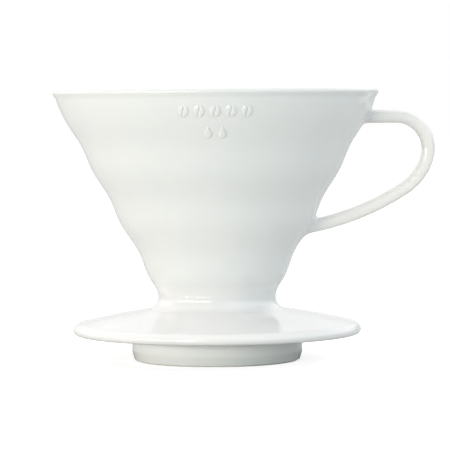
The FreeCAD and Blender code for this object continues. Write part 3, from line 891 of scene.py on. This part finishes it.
def mark_mesh(middle, height, edge, rise):
    """Vertices and faces of one raised mark: rings of a soft relief on the wall, closed underneath."""
    rings, spokes = 14, 56
    skirt = 0.4 * MM
    vertices = []
    for ring in range(1, rings + 2):
        share = min(1.0, math.sin(math.pi / 2 * ring / rings))
        for spoke in range(spokes):
            edge_across, edge_along = edge(2 * math.pi * spoke / spokes)
            across, along = edge_across * share, edge_along * share
            proud = -skirt if ring > rings else MARK_RELIEF * rise(across, along, share)
            level = height + along * math.cos(WALL_LEAN)
            vertices.append(front_wall_point(middle + across, level, proud))
    faces = tube_faces(rings + 1, spokes, False)
    top = len(vertices)
    vertices.append(front_wall_point(middle, height, MARK_RELIEF * rise(0, 0, 0)))
    vertices.append(front_wall_point(middle, height, -skirt))
    last = rings * spokes
    for spoke in range(spokes):
        beside = (spoke + 1) % spokes
        faces.append((top, spoke, beside))
        faces.append((top + 1, last + beside, last + spoke))
    return vertices, faces


def make_marks(material):
    """A row of beans over a row of drops, where the frame has them."""
    rows = [
        ("bean_marks", BEAN_COUNT, BEAN_PITCH, bean_edge, bean_rise),
        ("drop_marks", DROP_COUNT, DROP_PITCH, drop_edge, drop_rise),
    ]
    for name, count, pitch, edge, rise in rows:
        low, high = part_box(name)
        height = (low.z + high.z) / 2
        middles = [(index - (count - 1) / 2) * pitch for index in range(count)]
        vertices, faces = join(mark_mesh(middle, height, edge, rise) for middle in middles)
        make_piece(name + "_glazed", vertices, faces, material, name)


# ---------------------------------------------------------------- studio

FLOOR_COLOUR = (0.60, 0.60, 0.585, 1.0)
FLOOR_LIFT = 0.74
# What the studio's walls give off in front on the left and right, and behind on the left and right:
# near the floor, and above that.
LOW_GLOWS = [
    (1.35, 1.33, 1.20, 1.0),
    (0.26, 0.42, 0.53, 1.0),
    (0.94, 0.94, 0.94, 1.0),
    (0.50, 0.56, 0.56, 1.0),
]
HIGH_GLOWS = [
    (0.06, 0.06, 0.08, 1.0),
    (1.46, 1.60, 1.70, 1.0),
    (1.14, 1.14, 1.14, 1.0),
    (1.60, 1.60, 1.60, 1.0),
]
TOP_GLOW = (1.18, 1.20, 1.20, 1.0)
# Where one glow gives way to the next, as X, Y and Z of the direction that a ray comes from.
RIGHT_FROM_X = (0.10, 0.50)
BEHIND_FROM_Y = (-0.05, 0.15)
HIGH_FROM_Z = (0.12, 0.30)
TOP_FROM_Z = (0.45, 0.85)
# Softboxes: name, degrees to the right of the camera, degrees up, height, watts, colour.
SOFTBOXES = [
    ("key", -50, 4, 0.13, 3.9, (1.0, 0.90, 0.79)),
    ("front", -25, 4, 0.13, 3.7, (0.90, 1.0, 0.97)),
    ("side", -75, 4, 0.13, 1.0, (0.90, 0.90, 1.0)),
    ("rim", -120, 15, 0.40, 0.7, (1.0, 1.0, 1.0)),
]


def lens_only(tree, strength):
    """A number that is strength for rays from the lens and 0 for the rays that light the object."""
    return product(tree, tree.nodes.new("ShaderNodeLightPath").outputs["Is Camera Ray"], strength)


def make_floor():
    """A wide pale floor."""
    reach = 8.0
    corners = [(-reach, -reach, 0), (reach, -reach, 0), (reach, reach, 0), (-reach, reach, 0)]
    mesh = bpy.data.meshes.new("floor")
    mesh.from_pydata(corners, [], [(0, 1, 2, 3)])
    floor = bpy.data.objects.new("floor", mesh)
    floor.location.z = CAD_BOX[0].z
    bpy.context.scene.collection.objects.link(floor)
    material = bpy.data.materials.new("pale_floor")
    material.use_nodes = True
    tree = material.node_tree
    shader = tree.nodes["Principled BSDF"]
    shader.inputs["Base Color"].default_value = FLOOR_COLOUR
    shader.inputs["Roughness"].default_value = 0.8
    shader.inputs["Specular IOR Level"].default_value = 0.0
    shader.inputs["Emission Color"].default_value = (1, 1, 1, 1)
    tree.links.new(lens_only(tree, FLOOR_LIFT), shader.inputs["Emission Strength"])
    mesh.materials.append(material)


def make_world():
    """A soft studio, white to the lens, and brighter on the left near the floor and on the right above."""
    world = bpy.data.worlds.new("studio")
    bpy.context.scene.world = world
    world.use_nodes = True
    tree = world.node_tree
    background = tree.nodes["Background"]
    split = tree.nodes.new("ShaderNodeSeparateXYZ")
    tree.links.new(tree.nodes.new("ShaderNodeTexCoord").outputs["Generated"], split.inputs[0])
    right = step_between(tree, split.outputs["X"], *RIGHT_FROM_X)
    behind = step_between(tree, split.outputs["Y"], *BEHIND_FROM_Y)
    high = step_between(tree, split.outputs["Z"], *HIGH_FROM_Z)
    top = step_between(tree, split.outputs["Z"], *TOP_FROM_Z)
    levels = []
    for front_left, front_right, back_left, back_right in (LOW_GLOWS, HIGH_GLOWS):
        front_glow = mix_colours(tree, right, front_left, front_right)
        back_glow = mix_colours(tree, right, back_left, back_right)
        levels.append(mix_colours(tree, behind, front_glow, back_glow))
    glow = mix_colours(tree, high, *levels)
    glow = mix_colours(tree, top, glow, TOP_GLOW)
    glow = mix_colours(tree, lens_only(tree, 1.0), glow, grey(1.0))
    tree.links.new(glow, background.inputs["Color"])


def make_softbox(name, right, up, height, power, colour):
    """A soft light so many degrees right of the camera and up, facing the object, unseen by the lens."""
    distance = 1.25
    width = 0.60
    aim = Vector((0, 0, 0.05))
    right, up = math.radians(right), math.radians(up)
    away = Vector((math.cos(up) * math.sin(right), -math.cos(up) * math.cos(right), math.sin(up)))
    light = bpy.data.lights.new(name, "AREA")
    light.shape = "RECTANGLE"
    light.size = width
    light.size_y = height
    light.energy = power
    light.color = colour
    lamp = bpy.data.objects.new(name, light)
    lamp.location = aim + away * distance
    lamp.rotation_euler = away.to_track_quat("Z", "Y").to_euler()
    lamp.visible_camera = False
    bpy.context.scene.collection.objects.link(lamp)


def make_camera():
    """A long lens a little above the middle of the cone, looking slightly down."""
    distance = 0.935
    height = 0.090
    aim_height = 0.049
    aside = 3.1 * MM
    roll = math.radians(-0.4)
    data = bpy.data.cameras.new("camera")
    data.sensor_width = 36.0
    data.lens = 205.8
    camera = bpy.data.objects.new("camera", data)
    camera.location = (aside, -distance, height)
    look = Vector((0, distance, aim_height - height))
    turn = look.to_track_quat("-Z", "Y").to_matrix()
    camera.rotation_euler = (turn @ Matrix.Rotation(roll, 3, "Z")).to_euler()
    data.clip_end = 50
    bpy.context.scene.collection.objects.link(camera)
    bpy.context.scene.camera = camera


def make_studio():
    """Floor, world, softboxes and camera."""
    make_floor()
    make_world()
    for softbox in SOFTBOXES:
        make_softbox(*softbox)
    make_camera()
    scene = bpy.context.scene
    scene.view_settings.view_transform = "Standard"
    scene.view_settings.look = "None"


def make_object():
    """Every piece of the dripper, each with its glaze, and the bare foot."""
    make_cone(make_glaze("cone_glaze", 0.96))
    make_ribs(make_glaze("rib_glaze", 0.96))
    # Painted light: the saucer and the waist bead are painted a little lighter than the cone, for the
    # light on them, and the locating ring much lighter, against the shade under the saucer.
    make_saucer(make_glaze("saucer_glaze", 0.99, tint=SAUCER_PAINTED_LIGHT))
    make_ring(make_glaze("ring_glaze", 1.10, roughness=0.09))
    make_bare_foot(make_bare_clay())
    make_waist_bead(make_glaze("bead_glaze", 0.975, tint=WAIST_PAINTED_LIGHT))
    # Painted light: the handle's glaze fades to a lighter, warmer tint away from the wall.
    handle_glaze = make_glaze("handle_glaze", 0.96)
    fade_in_painted_light(handle_glaze, HANDLE_PAINTED_LIGHT)
    make_handle(handle_glaze)
    make_handle_bead("upper_handle_bead", STARTS, 1, UPPER_BEAD_SIZE, handle_glaze)
    make_handle_bead("lower_handle_bead", ENDS, -1, LOWER_BEAD_SIZE, handle_glaze)
    make_marks(make_glaze("mark_glaze", 0.96))


make_object()
make_studio()
